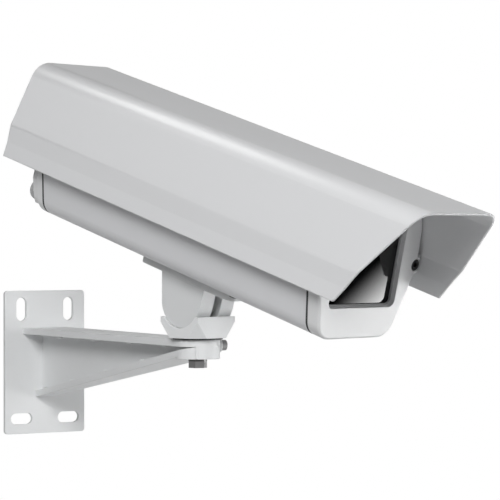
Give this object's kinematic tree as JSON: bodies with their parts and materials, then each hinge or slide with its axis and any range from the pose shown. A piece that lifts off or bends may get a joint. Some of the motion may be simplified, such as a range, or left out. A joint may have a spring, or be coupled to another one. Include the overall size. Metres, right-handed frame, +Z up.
{
  "type": "security camera housing",
  "caption": "Outdoor camera housing with an overhanging sunshield and a framed front window, on a pan and tilt head at the end of a ribbed wall bracket.",
  "frame": {"origin": "middle of the wall plate's back face, on the wall", "axes": "+X points out from the wall along the arm, +Z is up, and the housing is panned towards +Y"},
  "size_m": [0.5546, 0.2227, 0.3191],
  "materials": {
    "grey_paint": "satin",
    "body_paint": "satin",
    "shield_paint": "satin",
    "steel": "satin",
    "black_rubber": "matt",
    "window": "polished",
    "grey_plastic": "matt",
    "bare_aluminium": "satin",
    "board": "satin",
    "terminals": "matt"
  },
  "bodies": {
    "bracket": {"wall_bracket": "grey_paint", "lock_screw": "steel"},
    "swivel": {"swivel_cup": "grey_paint", "pan_washer": "black_rubber", "spring_washer": "black_rubber", "clamp_bolt": "steel", "clamp_nut": "steel"},
    "housing": {"knuckle": "grey_paint", "saddle_plate": "grey_paint", "knuckle_screws": "steel", "saddle_screws": "steel", "body_tube": "body_paint", "front_gasket": "black_rubber", "rear_gasket": "black_rubber", "front_bezel": "grey_paint", "window_seal": "black_rubber", "window_glass": "window", "window_clips": "steel", "clip_screws": "steel", "bezel_screws": "steel", "rear_cap": "grey_paint", "rear_cap_screws": "steel", "gland_body_1": "grey_plastic", "gland_nut_1": "grey_plastic", "gland_locknut_1": "grey_plastic", "gland_plug_1": "black_rubber", "gland_body_2": "grey_plastic", "gland_nut_2": "grey_plastic", "gland_locknut_2": "grey_plastic", "gland_plug_2": "black_rubber", "gland_body_3": "grey_plastic", "gland_nut_3": "grey_plastic", "gland_locknut_3": "grey_plastic", "gland_plug_3": "black_rubber", "sunshield": "shield_paint", "shield_studs": "steel", "shield_spacers": "grey_plastic", "shield_nuts": "steel", "camera_tray": "steel", "heater": "bare_aluminium", "heater_screws": "steel", "terminal_board": "board", "board_standoffs": "grey_plastic", "board_screws": "steel", "terminal_blocks": "terminals", "drain_plug": "black_rubber"},
    "camera_slide": {"camera_carriage": "bare_aluminium", "camera_screw": "steel"}
  },
  "joints": [
    {"name": "pan", "type": "hinge", "parent": "bracket", "child": "swivel", "pos_m": [0.29, 0, 0.0308], "axis": [0, 0, 1], "range_deg": [-106, 74]},
    {"name": "tilt", "type": "hinge", "parent": "swivel", "child": "housing", "pos_m": [0.29, 0, 0.062], "axis": [-0.279, 0.9603, 0], "range_deg": [-32, 27]},
    {"name": "camera_position", "type": "slide", "parent": "housing", "child": "camera_slide", "axis": [0.9164, 0.2662, -0.299], "range_m": [-0.05, 0.055]}
  ]
}
